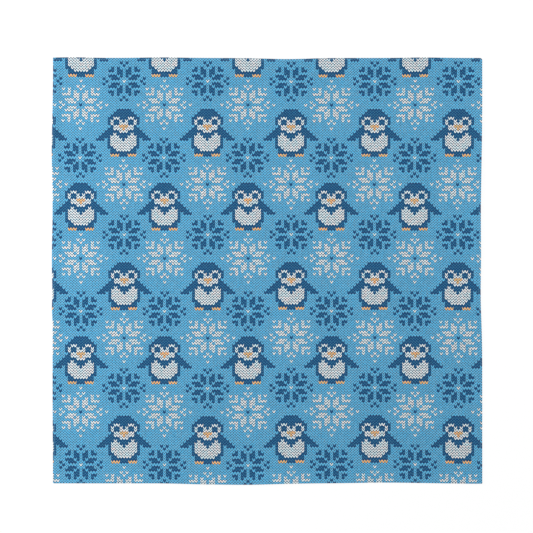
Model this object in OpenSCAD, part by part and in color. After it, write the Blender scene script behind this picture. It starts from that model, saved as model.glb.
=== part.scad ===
// Square table napkin: one printed cloth with a narrow double-folded hem, sewn with lockstitch.
// It lies flat, face up, with its underside on z = 0 and its middle at x = y = 0.

/* [Napkin] */
// Finished width, edge to edge along X
napkin_w = 508; // [300:1:600]
// Finished height, edge to edge along Y
napkin_h = 504; // [300:1:600]
// Thickness of one layer of the cloth
cloth_t = 0.4; // [0.3:0.05:0.6]

/* [Hem] */
// Width of the finished hem
hem_w = 3.4; // [3:0.1:8]
// Slack left between two folded layers
fold_gap = 0.05; // [0.02:0.01:0.1]
// How far inside the hem the cloth takes to come down to the table
rim_w = 9; // [5:0.5:20]

/* [Sewing] */
// Diameter of the sewing thread
thread_d = 0.28; // [0.2:0.02:0.32]
// Distance from one needle hole to the next
stitch_pitch = 2.8; // [2:0.1:4]
// Length of a stitch that shows between two needle holes
stitch_len = 2.3; // [1.4:0.1:3.4]
// Distance of the seam from the inner edge of the hem
seam_in = 1.1; // [0.9:0.05:1.4]
// How deep the seam sinks into the face of the hem
face_sink = 0.12; // [0.05:0.01:0.16]

/* [Hidden] */
$fn = 24;

// A hem is three layers: the face, the turned edge inside it, and the back.
hem_t = 3 * cloth_t + 2 * fold_gap;
panel_w = napkin_w - 2 * hem_w;
panel_h = napkin_h - 2 * hem_w;
// The top and bottom hems run the full width, folded over the ends of the side hems.
side_len = panel_h;
// Radius of the fold at the napkin's edge, and of the inner fold that hides the raw edge
edge_r = hem_t / 2;
inner_r = cloth_t + fold_gap / 2;
inner_fold_x = 0.1 + inner_r;
edge_fold_x = hem_w - edge_r;
raw_edge_x = edge_fold_x - edge_r + cloth_t;
// Clear width of the groove that a row of stitches presses into the hem
groove_w = thread_d + 0.04;
over = 1;

// Half of a ring, open to the left: the section of one fold.
module fold_section(outer_r, inner_r) {
    difference() {
        circle(r = outer_r);
        circle(r = inner_r);
        translate([-2 * outer_r, -outer_r - over])
            square([2 * outer_r, 2 * (outer_r + over)]);
    }
}

// Section across a hem, from its inner side at x = 0 to the napkin's edge at x = hem_w.
module hem_section() {
    difference() {
        union() {
            translate([0, hem_t - cloth_t])
                square([edge_fold_x, cloth_t]);
            translate([edge_fold_x, edge_r])
                fold_section(edge_r, edge_r - cloth_t);
            translate([inner_fold_x, 0])
                square([edge_fold_x - inner_fold_x, cloth_t]);
            translate([inner_fold_x, inner_r])
                mirror([1, 0])
                    fold_section(inner_r, fold_gap / 2);
            translate([inner_fold_x, cloth_t + fold_gap])
                square([raw_edge_x - inner_fold_x, cloth_t]);
        }
        translate([seam_in - groove_w / 2, hem_t - face_sink])
            square([groove_w, over]);
        translate([seam_in - groove_w / 2, thread_d - over])
            square([groove_w, over]);
    }
}

// A hem of a given length, centred on the Y axis, with its inner side at x = 0.
module hem(length) {
    color("#5a9ec3")
        translate([0, length / 2, 0])
            rotate([90, 0, 0])
                linear_extrude(height = length)
                    hem_section();
}

// A row of stitches along the Y axis, their undersides at z = 0.
module stitch_row(length, tone) {
    count = floor((length - 1) / stitch_pitch);
    first = -(count - 1) * stitch_pitch / 2;
    color(tone)
        for (i = [0 : count - 1])
            translate([0, first + i * stitch_pitch + stitch_len / 2, thread_d / 2])
                rotate([90, 0, 0])
                    cylinder(d = thread_d, h = stitch_len);
}

// The rows that show on the face and on the back, where a hem of that length has them.
module needle_row(length) {
    translate([seam_in, 0, hem_t - face_sink])
        stitch_row(length, "#78b4d4");
}

module bobbin_row(length) {
    translate([seam_in, 0, 0])
        stitch_row(length, "#d8e2e8");
}

// Places for what is modelled along a hem: it is turned about Z and moved to its side.
module on_right() {
    translate([panel_w / 2, 0, 0])
        children();
}

module on_left() {
    rotate([0, 0, 180])
        on_right()
            children();
}

module on_top() {
    translate([0, panel_h / 2, 0])
        rotate([0, 0, 90])
            children();
}

module on_bottom() {
    rotate([0, 0, 180])
        on_top()
            children();
}

// The rim of the panel along one side: it climbs from the table to the face of the hem.
module rim(reach, length) {
    inner = reach - rim_w;
    intersection() {
        translate([0, length / 2, 0])
            rotate([90, 0, 0])
                linear_extrude(height = length)
                    polygon([
                        [inner, 0],
                        [reach, hem_t - cloth_t],
                        [reach, hem_t],
                        [inner, cloth_t]
                    ]);
        // A trapezium that mitres the rim with its neighbours
        translate([0, 0, -over])
            linear_extrude(height = hem_t + 2 * over)
                polygon([
                    [inner, -length / 2 + rim_w],
                    [reach, -length / 2],
                    [reach, length / 2],
                    [inner, length / 2 - rim_w]
                ]);
    }
}

module cloth_panel() {
    color("#5a9ec3")
        union() {
            translate([rim_w - panel_w / 2, rim_w - panel_h / 2, 0])
                cube([panel_w - 2 * rim_w, panel_h - 2 * rim_w, cloth_t]);
            for (turn = [0, 180]) {
                rotate([0, 0, turn])
                    rim(panel_w / 2, panel_h);
                rotate([0, 0, turn + 90])
                    rim(panel_h / 2, panel_w);
            }
        }
}

cloth_panel();
on_left() hem(side_len);  // hem_left
on_right() hem(side_len);  // hem_right
on_top() hem(napkin_w);  // hem_top
on_bottom() hem(napkin_w);  // hem_bottom
on_left() needle_row(side_len);  // needle_thread_left
on_right() needle_row(side_len);  // needle_thread_right
on_top() needle_row(napkin_w);  // needle_thread_top
on_bottom() needle_row(napkin_w);  // needle_thread_bottom
on_left() bobbin_row(side_len);  // bobbin_thread_left
on_right() bobbin_row(side_len);  // bobbin_thread_right
on_top() bobbin_row(napkin_w);  // bobbin_thread_top
on_bottom() bobbin_row(napkin_w);  // bobbin_thread_bottom
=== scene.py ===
import math

import bmesh
import bpy
import numpy as np
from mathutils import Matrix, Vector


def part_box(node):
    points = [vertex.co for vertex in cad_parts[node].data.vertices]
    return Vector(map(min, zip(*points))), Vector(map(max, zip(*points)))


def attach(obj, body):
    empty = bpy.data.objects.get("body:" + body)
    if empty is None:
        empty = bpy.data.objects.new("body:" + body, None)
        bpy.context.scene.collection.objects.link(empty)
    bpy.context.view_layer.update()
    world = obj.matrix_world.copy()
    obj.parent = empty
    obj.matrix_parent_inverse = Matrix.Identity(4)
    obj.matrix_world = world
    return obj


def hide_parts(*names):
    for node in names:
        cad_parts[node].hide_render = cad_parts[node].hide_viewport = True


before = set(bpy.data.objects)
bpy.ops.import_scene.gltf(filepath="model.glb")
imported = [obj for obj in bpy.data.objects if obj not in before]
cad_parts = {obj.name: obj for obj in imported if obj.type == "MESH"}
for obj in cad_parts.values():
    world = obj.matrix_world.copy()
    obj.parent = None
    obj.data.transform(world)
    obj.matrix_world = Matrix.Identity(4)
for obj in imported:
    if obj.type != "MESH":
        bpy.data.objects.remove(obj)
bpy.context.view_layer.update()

# ---- Camera -------------------------------------------------------------------------------
# It hangs straight above the napkin on a long lens, so that the square shows no perspective.
# The napkin lies a little below the middle of the frame.
lens_mm = 200
sensor_mm = 36
field_w = 0.6304  # width of table that the frame takes in
camera_place = (-0.0011, 0.0049, field_w * lens_mm / sensor_mm)
bpy.ops.object.select_all(action="DESELECT")
bpy.ops.object.camera_add(location=camera_place, rotation=(0, 0, 0))
camera = bpy.context.object
camera.name = "camera_above"
camera.data.lens = lens_mm
camera.data.sensor_width = sensor_mm
camera.data.clip_end = 100
bpy.context.scene.camera = camera
bpy.context.scene.view_settings.view_transform = "Standard"
# Filtered guides make the denoiser take the finely drawn stitches for grain and wipe them away.
bpy.context.scene.cycles.denoising_prefilter = "NONE"

# ---- How the cloth lies -------------------------------------------------------------------
# The napkin is thin cotton, pressed and laid on a table: nearly flat, with soft swells left where it
# was folded, edges that bow a little, and corners that the hemmer left more or less sharp.
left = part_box("hem_left")[0].x
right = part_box("hem_right")[1].x
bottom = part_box("hem_bottom")[0].y
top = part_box("hem_top")[1].y
hem_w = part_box("hem_left")[1].x - left
hem_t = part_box("hem_top")[1].z
cloth_t = 0.0004
napkin_w = right - left
napkin_h = top - bottom

# Bows of each edge: place along the edge, reach to either side, and how far it stands out there
edge_bows = {
    "left": [
        (0.237, 0.030, -0.0005),
        (0.142, 0.035, 0.0010),
        (0.012, 0.035, 0.0009),
        (-0.044, 0.012, 0.0007),
        (-0.236, 0.040, -0.0004),
    ],
    "right": [(0.066, 0.077, -0.0017), (-0.032, 0.041, -0.0015)],
    "top": [
        (-0.234, 0.030, 0.0008),
        (-0.127, 0.035, 0.0007),
        (0.023, 0.035, -0.0013),
        (0.186, 0.030, 0.0006),
        (0.0, 1.0, -0.0006),
    ],
    "bottom": [
        (-0.080, 0.030, 0.0007),
        (-0.027, 0.045, 0.0017),
        (0.139, 0.045, -0.0009),
        (0.245, 0.030, 0.0004),
        (0.0, 1.0, -0.0005),
    ],
}

# Soft swells: x, y, reach along x, reach along y, height
swells = [
    (-0.195, 0.165, 0.045, 0.060, 0.0018),
    (-0.190, 0.030, 0.050, 0.070, 0.0022),
    (-0.175, -0.140, 0.060, 0.060, 0.0014),
    (-0.085, 0.120, 0.030, 0.120, 0.0012),
    (-0.080, -0.090, 0.030, 0.100, 0.0010),
    (0.045, -0.075, 0.045, 0.050, 0.0016),
    (0.120, -0.125, 0.060, 0.050, 0.0022),
    (0.060, 0.130, 0.060, 0.050, 0.0009),
    (0.262, 0.120, 0.022, 0.090, 0.0016),
    (0.020, -0.258, 0.070, 0.018, 0.0010),
    (0.070, 0.258, 0.060, 0.020, 0.0012),
    (-0.258, -0.060, 0.016, 0.050, 0.0008),
]

# Fine ripples all over: waves per metre along x, along y, phase, height
ripples = [
    (9, 4, 0.4, 0.00022),
    (-5, 11, 1.9, 0.00018),
    (17, 7, 3.1, 0.00008),
    (6, -19, 5.0, 0.00007),
]

# Radius of each corner, by its side of the middle along x and y
corner_r = {(1, 1): 0.0030, (-1, 1): 0.0008, (1, -1): 0.0008, (-1, -1): 0.0016}


def bow(edge, along):
    """How far an edge stands out of its straight line at each place along it."""
    return sum(h * np.exp(-(((along - at) / reach) ** 2)) for at, reach, h in edge_bows[edge])


def swell(x, y):
    """How far the underside of the cloth stands off the table."""
    rise = sum(
        h * np.exp(-(((x - cx) / rx) ** 2) - ((y - cy) / ry) ** 2)
        for cx, cy, rx, ry, h in swells
    )
    for kx, ky, phase, h in ripples:
        rise = rise + h * (1 + np.sin(math.tau * (kx * x + ky * y) + phase))
    return rise


def laid(flat):
    """Where points of the sewn napkin come to lie: rows of x, y and height above its underside."""
    x, y, h = flat.T.copy()
    z = swell(x, y) + h
    for (sx, sy), radius in corner_r.items():
        px = sx * x - (napkin_w / 2 - radius)
        py = sy * y - (napkin_h / 2 - radius)
        near = (px > 0) & (py > 0)
        pull = np.ones_like(x)
        pull[near] = np.maximum(px, py)[near] / np.hypot(px, py)[near]
        x = np.where(near, sx * (napkin_w / 2 - radius + px * pull), x)
        y = np.where(near, sy * (napkin_h / 2 - radius + py * pull), y)
    fx = (x - left) / napkin_w
    fy = (y - bottom) / napkin_h
    out_x = fx**2 * bow("right", y) - (1 - fx) ** 2 * bow("left", y)
    out_y = fy**2 * bow("top", x) - (1 - fy) ** 2 * bow("bottom", x)
    return np.column_stack([x + out_x, y + out_y, z])


# ---- The print ----------------------------------------------------------------------------
# The face is printed to look like colour-work knitting. Each drawn stitch is a V of two slanting
# halves. The motifs are a white star, a navy star and a penguin one under another, and each next
# column of them is staggered by half a repeat.
stitch_w = napkin_w / 149.01
row_h = napkin_h / 160.92
dip = 0.85 * row_h  # how far the foot of a V hangs below its arms
repeat_w = 29
repeat_h = 58
# Middle of the stitch in the middle of one white star
star_x = -0.2208
star_y = 0.1961
# Where the print wanders off its true lines: to the right half way up, and upward in mid width
drift_right = 0.0009
drift_reach_y = 0.085
drift_up = 0.0009
drift_x = 0.005
drift_reach_x = 0.070

YARNS = {".": 0, "n": 1, "w": 2, "o": 3}
PENGUIN = [
    ".......nnnnn.......",
    "......nnnnnnn......",
    ".....nnnnnnnnn.....",
    "....nnwwnnnwwnn....",
    "....nwnnwnwnnwn....",
    "....nwnnwwwnnwn....",
    ".....nwwooowwn.....",
    "....nnwwwowwwnn....",
    "...nnnnnwwwnnnnn...",
    "..nnnnwnnnnnwnnnn..",
    ".nnnnwwwnnnwwwnnnn.",
    "nnn.nwwwwnwwwwn.nnn",
    "....nwwwwwwwwwn....",
    "....nwwwwwwwwwn....",
    "....nnwwwwwwwnn....",
    ".....nnwwwwwnn.....",
    ".....nnnnnnnnn.....",
    ".....ooonnnooo.....",
]

# One eighth of a star, as stitches across and down from its middle, and the tips of a white star
STAR_EIGHTH = [(0, 6), (1, 7), (1, 2), (1, 3), (2, 3), (1, 4), (2, 4), (2, 5), (4, 4), (4, 5)]
STAR_TIPS = [(0, 9), (4, 6), (6, 6)]


def star(eighth, yarn, heart):
    """The stitches of a star, across and down, turned and mirrored from one eighth of it."""
    stitches = {(0, 0): YARNS[heart]}
    for a, b in eighth:
        for across, down in ((a, b), (b, a)):
            for side in (-1, 1):
                for way in (-1, 1):
                    stitches[side * across, way * down] = YARNS[yarn]
    return stitches


def penguin():
    """The stitches of a penguin, across from its middle and down from its head."""
    return {
        (across - len(line) // 2, down): YARNS[letter]
        for down, line in enumerate(PENGUIN)
        for across, letter in enumerate(line)
        if letter != "."
    }


white_star = star(STAR_EIGHTH + STAR_TIPS, "w", "n")
navy_star = star(STAR_EIGHTH, "n", "w")
# Each motif of one repeat, and its place: stitches across and rows down from the first white star
MOTIFS = [
    (white_star, 0, 0),
    (navy_star, 0, 20),
    (penguin(), 0, 30),
    (white_star, 15, 30),
    (navy_star, 15, 49),
    (penguin(), 15, 60),
]
chart = np.zeros((repeat_h, repeat_w), int)
for stitches, motif_across, motif_down in MOTIFS:
    for (across, down), yarn in stitches.items():
        chart[(motif_down + down) % repeat_h, (motif_across + across) % repeat_w] = yarn

# Left side and top of the first white star's middle stitch
grid_x = star_x - stitch_w / 2
grid_y = star_y + (row_h + dip) / 2


def wander(x, y):
    """How far right and up the print has strayed from its true lines at each place."""
    return (
        drift_right * np.exp(-((y / drift_reach_y) ** 2)),
        drift_up * np.exp(-(((x - drift_x) / drift_reach_x) ** 2)),
    )


def yarn_at(x, y):
    """The yarn of the drawn stitch at each flat place on the face."""
    astray, raised = wander(x, y)
    across = (x - astray - grid_x) / stitch_w
    stitch = np.floor(across)
    hang = dip * (1 - np.abs(2 * (across - stitch) - 1))
    row = np.floor((grid_y - hang - (y - raised)) / row_h)
    return chart[row.astype(int) % repeat_h, stitch.astype(int) % repeat_w]


def paint(code):
    """A colour written as the eye sees it, in the linear numbers that the shaders take."""
    parts = [int(code[i : i + 2], 16) / 255 for i in (1, 3, 5)]
    return tuple(p / 12.92 if p < 0.04045 else ((p + 0.055) / 1.055) ** 2.4 for p in parts) + (1,)


# ---- Printed cotton -----------------------------------------------------------------------
# Plain-weave cotton, printed with matt pigment. Each half of a knit stitch is drawn as a plump
# strand with a duller gap on either side, and the back shows only what has soaked through.
weave_period = 0.0008
# Inks of the light blue, navy, white and orange strands, and of the gaps beside each of them
strand_inks = ["#5ebfed", "#00326e", "#faffff", "#fac486"]
gap_inks = ["#4c4652", "#3c7c96", "#004a66", "#0c344e"]
strand_reach = [0.71, 0.71, 0.57, 0.71]  # share of the half stitch's width that each strand takes
strand_taper = 0.80  # how strongly a strand narrows to its ends
gap_blur = 0.10  # how softly a strand goes over into its gap
soaked = 0.20  # how much of the ink shows on the back
back_colour = "#dfe9ee"
# Tints of the flecks all over the cloth, as factors of red, green and blue
warm_fleck = (1.6, 1.0, 0.88, 1)
cool_fleck = (0.4, 1.0, 1.12, 1)


def add(tree, kind, **settings):
    """A shader node of a kind, with its settings."""
    made = tree.nodes.new("ShaderNode" + kind)
    for key, value in settings.items():
        setattr(made, key, value)
    return made


def maths(tree, operation, first, second=None, third=None):
    """A Math node on numbers or the outputs of other nodes."""
    made = add(tree, "Math", operation=operation)
    for socket, value in zip(made.inputs, (first, second, third)):
        if isinstance(value, (int, float)):
            socket.default_value = value
        elif value is not None:
            tree.links.new(value, socket)
    return made.outputs[0]


def spread(tree, value, low, high):
    """A number from 0 to 1, spread out between two others."""
    return maths(tree, "MULTIPLY_ADD", value, high - low, low)


def bands(tree, place, direction, period):
    """Even bands from 0 to 1 that follow one another in a direction, one to each period."""
    made = add(tree, "TexWave", wave_type="BANDS", bands_direction=direction)
    made.inputs["Scale"].default_value = math.tau / (20 * period)
    tree.links.new(place, made.inputs["Vector"])
    return made


def weave(tree, place):
    """The height of the woven surface, 0 in its gaps and 1 on its threads."""
    threads = []
    for direction in ("X", "Y"):
        band = bands(tree, place, direction, weave_period)
        band.inputs["Distortion"].default_value = 0.6
        band.inputs["Detail"].default_value = 1.0
        band.inputs["Detail Scale"].default_value = 0.3
        threads.append(maths(tree, "SUBTRACT", band.outputs["Fac"], 0.5))
    cross = maths(tree, "MULTIPLY", threads[0], threads[1])
    return maths(tree, "MULTIPLY_ADD", cross, 2.0, 0.5)


def noise(tree, place, scale):
    """A soft random pattern between 0 and 1, with about scale lumps to each unit of place."""
    made = add(tree, "TexNoise")
    made.inputs["Scale"].default_value = scale
    tree.links.new(place, made.inputs["Vector"])
    return made.outputs["Fac"]


def mixed(tree, blend, factor, first, second):
    """A colour mix of two outputs or colours."""
    made = add(tree, "Mix", data_type="RGBA", blend_type=blend)
    sockets = [made.inputs[i] for i in (0, 6, 7)]  # the factor, then the two colours
    for socket, value in zip(sockets, (factor, first, second)):
        if hasattr(value, "links"):
            tree.links.new(value, socket)
        else:
            socket.default_value = value
    return made.outputs[2]


def grey(tree, value):
    """A number as a grey colour, for a multiply."""
    made = add(tree, "CombineColor")
    for socket in made.inputs:
        tree.links.new(value, socket)
    return made.outputs[0]


def by_yarn(tree, colours):
    """The colour of each drawn stitch, from the number that its faces carry."""
    number = add(tree, "Attribute", attribute_name="yarn").outputs["Fac"]
    ramp = add(tree, "ValToRGB")
    ramp.color_ramp.interpolation = "CONSTANT"
    stops = ramp.color_ramp.elements
    while len(stops) < len(colours):
        stops.new(1.0)
    for i, colour in enumerate(colours):
        stops[i].position = max(0, i - 0.5) / len(colours)
        stops[i].color = colour
    tree.links.new(maths(tree, "DIVIDE", number, float(len(colours))), ramp.inputs[0])
    return ramp.outputs[0]


def drawn_stitch(tree):
    """Of the drawing of a half stitch: where its gaps are, and how bright the plump strand is."""
    uv = add(tree, "UVMap", uv_map="stitch").outputs[0]
    parts = add(tree, "SeparateXYZ")
    tree.links.new(uv, parts.inputs[0])
    along = maths(tree, "ABSOLUTE", spread(tree, parts.outputs[0], -1, 1))
    across = maths(tree, "ABSOLUTE", spread(tree, parts.outputs[1], -1, 1))
    reach = by_yarn(tree, [(value, value, value, 1) for value in strand_reach])
    taper = spread(tree, maths(tree, "POWER", along, 2.0), 1.0, 1 - strand_taper)
    edge = maths(tree, "MULTIPLY", maths(tree, "POWER", taper, 0.5), reach)
    gap = add(tree, "MapRange", interpolation_type="SMOOTHSTEP")
    tree.links.new(maths(tree, "SUBTRACT", across, edge), gap.inputs[0])
    gap.inputs["From Min"].default_value = -gap_blur
    gap.inputs["From Max"].default_value = gap_blur
    plump = spread(tree, maths(tree, "POWER", across, 2.0), 1.04, 0.88)
    stretched = add(tree, "Mapping")
    stretched.inputs["Scale"].default_value = (2, 11, 1)
    tree.links.new(uv, stretched.inputs["Vector"])
    fibres = spread(tree, noise(tree, stretched.outputs[0], 1.0), 0.89, 1.13)
    return gap.outputs[0], maths(tree, "MULTIPLY", plump, fibres)


def cloth_material(name, printed):
    """The printed face of the cloth, or its back."""
    material = bpy.data.materials.new(name)
    material.use_nodes = True
    tree = material.node_tree
    shader = tree.nodes["Principled BSDF"]
    place = add(tree, "TexCoord").outputs["Object"]
    height = weave(tree, place)
    colour = by_yarn(tree, [paint(code) for code in strand_inks])
    if printed:
        gap, plump = drawn_stitch(tree)
        colour = mixed(tree, "MULTIPLY", 1.0, colour, grey(tree, plump))
        gap_colour = by_yarn(tree, [paint(code) for code in gap_inks])
        colour = mixed(tree, "MIX", gap, colour, gap_colour)
    else:
        colour = mixed(tree, "MIX", 1 - soaked, colour, paint(back_colour))
    cloudy = spread(tree, noise(tree, place, 14), 0.975, 1.025)
    slubs = spread(tree, noise(tree, place, 380), 0.75, 1.25)
    # Painted shade and highlight: the colour follows the weave's height, darker in the hollows
    # between the threads and lighter on their tops; cloudy and slubs are the yarn's own uneven tone.
    threads = spread(tree, height, 0.85, 1.15)
    shade = maths(tree, "MULTIPLY", maths(tree, "MULTIPLY", cloudy, slubs), threads)
    colour = mixed(tree, "MULTIPLY", 1.0, colour, grey(tree, shade))
    flecks = mixed(tree, "MIX", noise(tree, place, 420), warm_fleck, cool_fleck)
    colour = mixed(tree, "MULTIPLY", 1.0, colour, flecks)
    tree.links.new(colour, shader.inputs["Base Color"])
    tree.links.new(spread(tree, height, 0.95, 0.81), shader.inputs["Roughness"])
    shader.inputs["Specular IOR Level"].default_value = 0.15
    shader.inputs["Sheen Weight"].default_value = 0.06
    shader.inputs["Sheen Roughness"].default_value = 0.5
    bump = add(tree, "Bump")
    bump.inputs["Strength"].default_value = 0.60
    bump.inputs["Distance"].default_value = 0.00015
    tree.links.new(height, bump.inputs["Height"])
    tree.links.new(bump.outputs[0], shader.inputs["Normal"])
    return material


# ---- Cloth panel --------------------------------------------------------------------------
# One layer of cloth between the four hems. It is cut as a grid with one face to each drawn half
# stitch, laid on the table, and climbs over the last few millimetres to the top of the hem.
rim_w = 0.009
tuck = 0.0005  # how far the panel runs on inside the hem, sinking as it goes
tuck_slope = 0.25
tuck_drop = 0.00003
panel_left = left + hem_w
panel_right = right - hem_w
panel_bottom = bottom + hem_w
panel_top = top - hem_w
printed_face = cloth_material("printed_face", True)
unprinted_back = cloth_material("unprinted_back", False)


def read(items, name, kind=float, width=1):
    """A property of all of a mesh's vertices, corners or faces, one row for each."""
    found = np.empty(len(items) * width, kind)
    items.foreach_get(name, found)
    return found.reshape(-1, width) if width > 1 else found


def printed_sheet(name, low, high, cuts):
    """Flat printed cloth between two corners, cut again at each of cuts, a direction and a place."""
    first_half = 2 * math.floor((low[0] - drift_right - grid_x) / stitch_w)
    last_half = 2 * math.ceil((high[0] - grid_x) / stitch_w)
    first_row = math.floor((grid_y - dip - high[1]) / row_h)
    last_row = math.ceil((grid_y + drift_up - low[1]) / row_h)
    halves = last_half - first_half
    rows = last_row - first_row
    bpy.ops.object.select_all(action="DESELECT")
    bpy.ops.mesh.primitive_grid_add(x_subdivisions=halves, y_subdivisions=rows, size=1)
    sheet = bpy.context.object
    sheet.name = name
    mesh = sheet.data
    places = read(mesh.vertices, "co", width=3)
    half = first_half + np.rint((places[:, 0] + 0.5) * halves)
    row = first_row + np.rint((0.5 - places[:, 1]) * rows)
    places[:, 0] = grid_x + half * stitch_w / 2
    places[:, 1] = grid_y - row * row_h - dip * (half % 2)
    astray, raised = wander(places[:, 0], places[:, 1])
    places[:, 0] += astray
    places[:, 1] += raised
    mesh.vertices.foreach_set("co", places.ravel())

    vertex = read(mesh.loops, "vertex_index", int)
    corners = vertex.reshape(-1, 4)
    middle = places[corners].mean(axis=1)
    colours = np.repeat(yarn_at(middle[:, 0], middle[:, 1]), 4)
    yarn = mesh.attributes.new("yarn", "FLOAT", "CORNER")
    yarn.data.foreach_set("value", colours.astype(np.float32))
    drawn_u = half[vertex] % 2
    drawn_v = np.repeat(row[corners].min(axis=1), 4) + 1 - row[vertex]
    drawn = np.column_stack([drawn_u, drawn_v]).ravel()
    mesh.uv_layers.new(name="stitch").data.foreach_set("uv", drawn.astype(np.float32))

    ends = [((-1, 0, 0), low), ((0, -1, 0), low), ((1, 0, 0), high), ((0, 1, 0), high)]
    shears = bmesh.new()
    shears.from_mesh(mesh)
    for planes, trimmed in ((ends, True), (cuts, False)):
        for direction, place in planes:
            bmesh.ops.bisect_plane(
                shears,
                geom=shears.verts[:] + shears.edges[:] + shears.faces[:],
                plane_co=(*place, 0),
                plane_no=direction,
                clear_outer=trimmed,
            )
    shears.to_mesh(mesh)
    shears.free()
    return sheet


def thickened(sheet):
    """Gives a sheet the thickness of the cloth, with its unprinted back."""
    sheet.data.materials.append(printed_face)
    sheet.data.materials.append(unprinted_back)
    thickness = sheet.modifiers.new("thickness", "SOLIDIFY")
    thickness.thickness = cloth_t
    thickness.offset = -1
    thickness.material_offset = 1
    thickness.material_offset_rim = 1
    bpy.ops.object.select_all(action="DESELECT")
    sheet.select_set(True)
    bpy.context.view_layer.objects.active = sheet
    bpy.ops.object.modifier_apply(modifier="thickness")


def lay_down(sheet, node):
    """Lays a finished piece on the table, in place of its plain node."""
    mesh = sheet.data
    mesh.vertices.foreach_set("co", laid(read(mesh.vertices, "co", width=3)).ravel())
    mesh.update()
    bpy.ops.object.shade_smooth_by_angle(angle=math.radians(50))
    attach(sheet, "root")
    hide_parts(node)


def panel_height(x, y):
    """How far the underside of the panel is above that of the hem."""
    inside = np.minimum.reduce([x - panel_left, panel_right - x, y - panel_bottom, panel_top - y])
    climb = np.clip(1 - inside / rim_w, 0, 1)
    climb = climb * climb * (3 - 2 * climb)
    tucked_down = tuck_slope * np.clip(-inside, 0, tuck) + tuck_drop * (inside < 0)
    return (hem_t - cloth_t) * climb - tucked_down


panel_low = np.array([panel_left - tuck, panel_bottom - tuck])
panel_high = np.array([panel_right + tuck, panel_top + tuck])
panel = printed_sheet("printed_cloth", panel_low, panel_high, [])
mesh = panel.data
places = read(mesh.vertices, "co", width=3)
places[:, 2] = panel_height(places[:, 0], places[:, 1]) + cloth_t
mesh.vertices.foreach_set("co", places.ravel())
face_vertices = len(places)
thickened(panel)

# The map for baked textures: the face has four fifths of it, as the back is nearly plain.
# The cut edges unfold outward from the back.
face_share = 0.80
gap_share = 0.01
edge_share = 0.008
vertex = read(mesh.loops, "vertex_index", int)
place = read(mesh.vertices, "co", width=3)[vertex]
across = (place[:, :2] - panel_low) / (panel_high - panel_low)
loop_total = read(mesh.polygons, "loop_total", int)
on_back = np.repeat(read(mesh.polygons, "material_index", int), loop_total) == 1
normal = np.repeat(read(mesh.polygons, "normal", width=3), loop_total, axis=0)
on_edge = on_back & (np.abs(normal[:, 2]) < 0.5) & (vertex < face_vertices)
shifted = 2 * edge_share + (1 - 4 * edge_share) * across
shifted += np.where(on_edge[:, None], np.rint(normal[:, :2]) * edge_share, 0)
bake_u = np.where(on_back, shifted[:, 0], across[:, 0])
back_v = face_share + gap_share + (1 - face_share - gap_share) * shifted[:, 1]
bake_v = np.where(on_back, back_v, face_share * across[:, 1])
bake = np.column_stack([bake_u, bake_v]).clip(0, 1).ravel()
mesh.uv_layers.new(name="OFBake").data.foreach_set("uv", bake.astype(np.float32))
lay_down(panel, "cloth_panel")

# ---- Hems ---------------------------------------------------------------------------------
# Each edge of the cloth is turned under twice, so that the raw edge is shut inside, and pressed.
# The cloth was printed first, so that the print runs out over the fold and on round its underside.
fold_gap = (hem_t - 3 * cloth_t) / 2
seam_in = 0.0011
groove = 0.00012  # how deep the seam presses into the cloth
groove_reach = 0.00028  # how far to either side of the seam it does so
groove_lip = 0.00004  # how far the face is still down there
# How far in from an end the top and bottom hems are cut across, to close that end roundly
end_stations = (0.00005, 0.00015, 0.0003, 0.0005, 0.0010, 0.0018, 0.0028)
end_slit = 0.00002  # keeps the layers of a closed end just apart


def arc(centre, radius, start, end, steps):
    """Points along an arc in the section of the hem, by angles in degrees."""
    return [
        (
            centre[0] + radius * math.cos(math.radians(start + (end - start) * i / steps)),
            centre[1] + radius * math.sin(math.radians(start + (end - start) * i / steps)),
        )
        for i in range(steps + 1)
    ]


def hem_section():
    """The printed side of the folded cloth, outward from the panel and up, round to the raw edge."""
    edge_r = hem_t / 2
    inner_r = cloth_t + fold_gap / 2
    edge_x = hem_w - edge_r
    inner_x = inner_r + 0.0001
    face = [
        (-tuck, hem_t - 0.00016),
        (0, hem_t - 0.00003),
        (0.0005, hem_t),
        (seam_in - groove_reach, hem_t - groove_lip),
        (seam_in, hem_t - groove),
        (seam_in + groove_reach, hem_t - groove_lip),
        (seam_in + 0.0007, hem_t),
    ]
    outside = arc((edge_x, edge_r), edge_r, 90, -90, 8)
    back = [(seam_in + 0.0004, 0), (seam_in, groove), (seam_in - 0.0003, 0)]
    turned = arc((inner_x, inner_r), inner_r, 270, 90, 6)
    raw_edge = [(edge_x - edge_r + cloth_t, 2 * inner_r)]
    return np.array(face + outside + back + turned + raw_edge)


section = hem_section()
steps = np.hypot(*np.diff(section, axis=0).T)
section_run = np.concatenate([[0], np.cumsum(steps)]) - tuck


def placed(side, out, along):
    """Flat places from how far out of the panel they are and how far along the side."""
    if side in ("left", "right"):
        sign = 1 if side == "right" else -1
        return sign * (panel_right + out), along + 0 * out
    sign = 1 if side == "top" else -1
    return along + 0 * out, sign * (panel_top + out)


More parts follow.
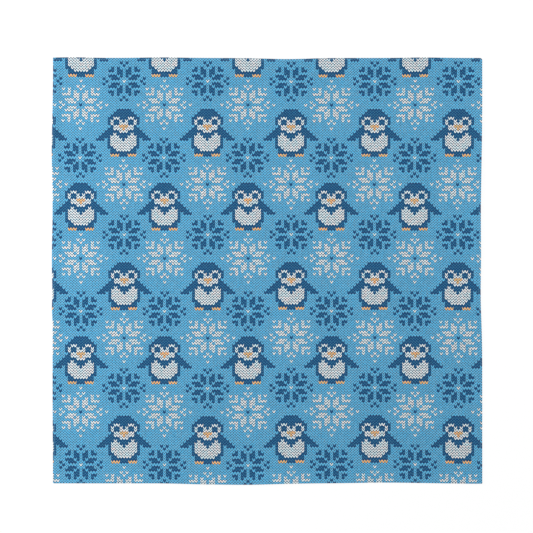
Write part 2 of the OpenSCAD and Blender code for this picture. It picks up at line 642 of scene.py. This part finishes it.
def hem(side):
    """One hem: a strip of the printed sheet, folded along its section."""
    upright = side in ("left", "right")
    low, high = (panel_bottom - tuck, panel_top + tuck) if upright else (left, right)
    ends = np.array([placed(side, section_run[0], low), placed(side, section_run[-1], high)])
    outward = (1, 0, 0) if upright else (0, 1, 0)
    cuts = [(outward, placed(side, run, 0.0)) for run in section_run[1:-1]]
    if not upright:  # the ends close over the ends of the side hems
        for inward in end_stations:
            cuts += [((1, 0, 0), (low + inward, 0)), ((1, 0, 0), (high - inward, 0))]
    strip = printed_sheet("folded_hem_" + side, ends.min(axis=0), ends.max(axis=0), cuts)
    mesh = strip.data
    x, y, _ = read(mesh.vertices, "co", width=3).T
    along = y if upright else x
    run = (np.abs(x) - panel_right) if upright else (np.abs(y) - panel_top)
    out = np.interp(run, section_run, section[:, 0])
    x, y = placed(side, out, along)
    height = np.interp(run, section_run, section[:, 1])
    mesh.vertices.foreach_set("co", np.column_stack([x, y, height]).ravel())
    mesh.update()
    thickened(strip)
    if not upright:
        places = read(mesh.vertices, "co", width=3)
        inward = np.clip(napkin_w / 2 - np.abs(places[:, 0]), end_slit, hem_t / 2)
        open_share = np.sqrt(1 - (1 - inward / (hem_t / 2)) ** 2)
        places[:, 2] = hem_t / 2 + (places[:, 2] - hem_t / 2) * open_share
        mesh.vertices.foreach_set("co", places.ravel())
    lay_down(strip, "hem_" + side)
    return strip


SIDES = ("left", "right", "top", "bottom")
hems = [hem(side) for side in SIDES]

# ---- Sewing -------------------------------------------------------------------------------
# Lockstitch in spun polyester: the needle thread shows on the face and the bobbin thread on the
# back, both pulled down into the cloth at every needle hole. Each side was sewn on its own.
thread_r = 0.00014
ply_w = 0.0003  # width of one of the plies that it is twisted from
stitch_pitch = 0.0028
stitch_len = 0.0025
row_margin = 0.001  # cloth left over at the ends of a row, at least
thread_rise = 0.00010  # how far the middle of the thread is above the bottom of the groove
end_slimming = 0.45  # how much thinner a stitch is at its ends
end_dive = 0.00030  # how deep a stitch dives at its ends
sway = 0.00003  # how far stitches stray to either side of the seam
sway_turn = 2.4  # how far that swing goes on from one stitch to the next, in radians


def thread_material(name, code):
    """Twisted thread: slanting plies, with painted shade in the grooves between them, and a slight
    lustre.
    """
    material = bpy.data.materials.new(name)
    material.use_nodes = True
    tree = material.node_tree
    shader = tree.nodes["Principled BSDF"]
    place = add(tree, "TexCoord").outputs["Object"]
    twist = bands(tree, place, "DIAGONAL", ply_w)
    # Painted shade: the colour follows the height of the twist, darker in the grooves between the
    # plies.
    shade = spread(tree, twist.outputs["Fac"], 0.80, 1.05)
    colour = mixed(tree, "MULTIPLY", 1.0, paint(code), grey(tree, shade))
    tree.links.new(colour, shader.inputs["Base Color"])
    tree.links.new(spread(tree, noise(tree, place, 900), 0.5, 0.7), shader.inputs["Roughness"])
    shader.inputs["Sheen Weight"].default_value = 0.2
    bump = add(tree, "Bump")
    bump.inputs["Strength"].default_value = 0.5
    bump.inputs["Distance"].default_value = 0.00004
    tree.links.new(twist.outputs["Fac"], bump.inputs["Height"])
    tree.links.new(bump.outputs[0], shader.inputs["Normal"])
    return material


needle_material = thread_material("needle_thread_blue", "#79b7da")
bobbin_material = thread_material("bobbin_thread_pale", "#dbe4ea")


def sewn_row(side, on_face):
    """A row of stitches along one hem, on its face or on its back."""
    upright = side in ("left", "right")
    length = napkin_h - 2 * hem_w if upright else napkin_w
    count = int((length - row_margin) / stitch_pitch)
    bpy.ops.object.select_all(action="DESELECT")
    bpy.ops.mesh.primitive_cylinder_add(
        vertices=6,
        radius=thread_r,
        depth=stitch_len,
        rotation=(0, math.pi / 2, 0),
        end_fill_type="TRIFAN",
    )
    made = bpy.context.object
    bpy.ops.object.transform_apply(location=True, rotation=True, scale=True)
    bpy.ops.object.mode_set(mode="EDIT")
    for at in (-0.4, -0.2, 0.2, 0.4):
        bpy.ops.mesh.select_all(action="SELECT")
        bpy.ops.mesh.bisect(plane_co=(at * stitch_len, 0, 0), plane_no=(1, 0, 0))
    bpy.ops.object.mode_set(mode="OBJECT")
    rows = made.modifiers.new("row", "ARRAY")
    rows.use_relative_offset = False
    rows.use_constant_offset = True
    rows.constant_offset_displace = (stitch_pitch, 0, 0)
    rows.count = count
    bpy.ops.object.modifier_apply(modifier="row")
    mesh = made.data
    run, across, up = read(mesh.vertices, "co", width=3).T
    number = np.floor(run / stitch_pitch + 0.5)
    within = (run - number * stitch_pitch) / (stitch_len / 2)
    slim = 1 - end_slimming * np.abs(within) ** 4
    sink = end_dive * np.abs(within) ** 3
    along = run - (count - 1) * stitch_pitch / 2
    out = seam_in + across * slim + sway * np.sin(sway_turn * number)
    level = (hem_t - groove + thread_rise) if on_face else groove - thread_rise
    height = level + (up * slim - sink if on_face else up * slim + sink)
    x, y = placed(side, out, along)
    mesh.vertices.foreach_set("co", laid(np.column_stack([x, y, height])).ravel())
    turned = bmesh.new()
    turned.from_mesh(mesh)
    bmesh.ops.recalc_face_normals(turned, faces=turned.faces[:])
    turned.to_mesh(mesh)
    turned.free()
    kind = "needle" if on_face else "bobbin"
    made.name = kind + "_stitches_" + side
    mesh.materials.append(needle_material if on_face else bobbin_material)
    bpy.ops.object.shade_smooth()
    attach(made, "root")
    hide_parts(kind + "_thread_" + side)
    return made


stitching = [sewn_row(side, on_face) for side in SIDES for on_face in (True, False)]

# ---- Table and light ----------------------------------------------------------------------
# A white table top in a white room. A soft lamp low on the left and a weaker one on the right
# bring out the relief of the cloth.
table_glow = 0.90  # share of its own white in how the table looks; the rest takes the shadows
room_light = 0.55  # strength of the room's light, which looks white all the same


def seen(tree):
    """1 where the camera looks, straight or by way of a shiny or clear surface, and 0 elsewhere."""
    paths = add(tree, "LightPath").outputs
    straight = maths(tree, "MAXIMUM", paths["Is Camera Ray"], paths["Is Glossy Ray"])
    return maths(tree, "MAXIMUM", straight, paths["Is Transmission Ray"])


bpy.ops.object.select_all(action="DESELECT")
bpy.ops.mesh.primitive_plane_add(size=40, location=(0, 0, -0.0002))
table = bpy.context.object
table.name = "table"
table_material = bpy.data.materials.new("white_table")
table_material.use_nodes = True
tree = table_material.node_tree
shader = tree.nodes["Principled BSDF"]
shader.inputs["Base Color"].default_value = (0.92, 0.92, 0.92, 1)
shader.inputs["Roughness"].default_value = 0.9
shader.inputs["Specular IOR Level"].default_value = 0.1
glow = add(tree, "Emission")
glow.inputs["Color"].default_value = (1, 1, 1, 1)
glow.inputs["Strength"].default_value = 1.02
blend = add(tree, "MixShader")
tree.links.new(maths(tree, "MULTIPLY", seen(tree), table_glow), blend.inputs[0])
tree.links.new(shader.outputs[0], blend.inputs[1])
tree.links.new(glow.outputs[0], blend.inputs[2])
tree.links.new(blend.outputs[0], tree.nodes["Material Output"].inputs["Surface"])
table.data.materials.append(table_material)

world = bpy.data.worlds.new("room")
bpy.context.scene.world = world
world.use_nodes = True
tree = world.node_tree
strength = spread(tree, seen(tree), room_light, 1.0)
background = tree.nodes["Background"]
background.inputs["Color"].default_value = (1, 1, 1, 1)
tree.links.new(strength, background.inputs["Strength"])


def soft_lamp(name, place, size, power):
    """A square lamp that faces the middle of the napkin."""
    bpy.ops.object.light_add(type="AREA", location=place)
    lamp = bpy.context.object
    lamp.name = name
    lamp.data.size = size
    lamp.data.energy = power
    lamp.rotation_euler = (-lamp.location).to_track_quat("-Z", "Y").to_euler()


soft_lamp("window", (-1.03, 0.12, 0.65), size=0.7, power=10)
soft_lamp("fill", (0.88, 0.42, 0.65), size=0.7, power=3.7)
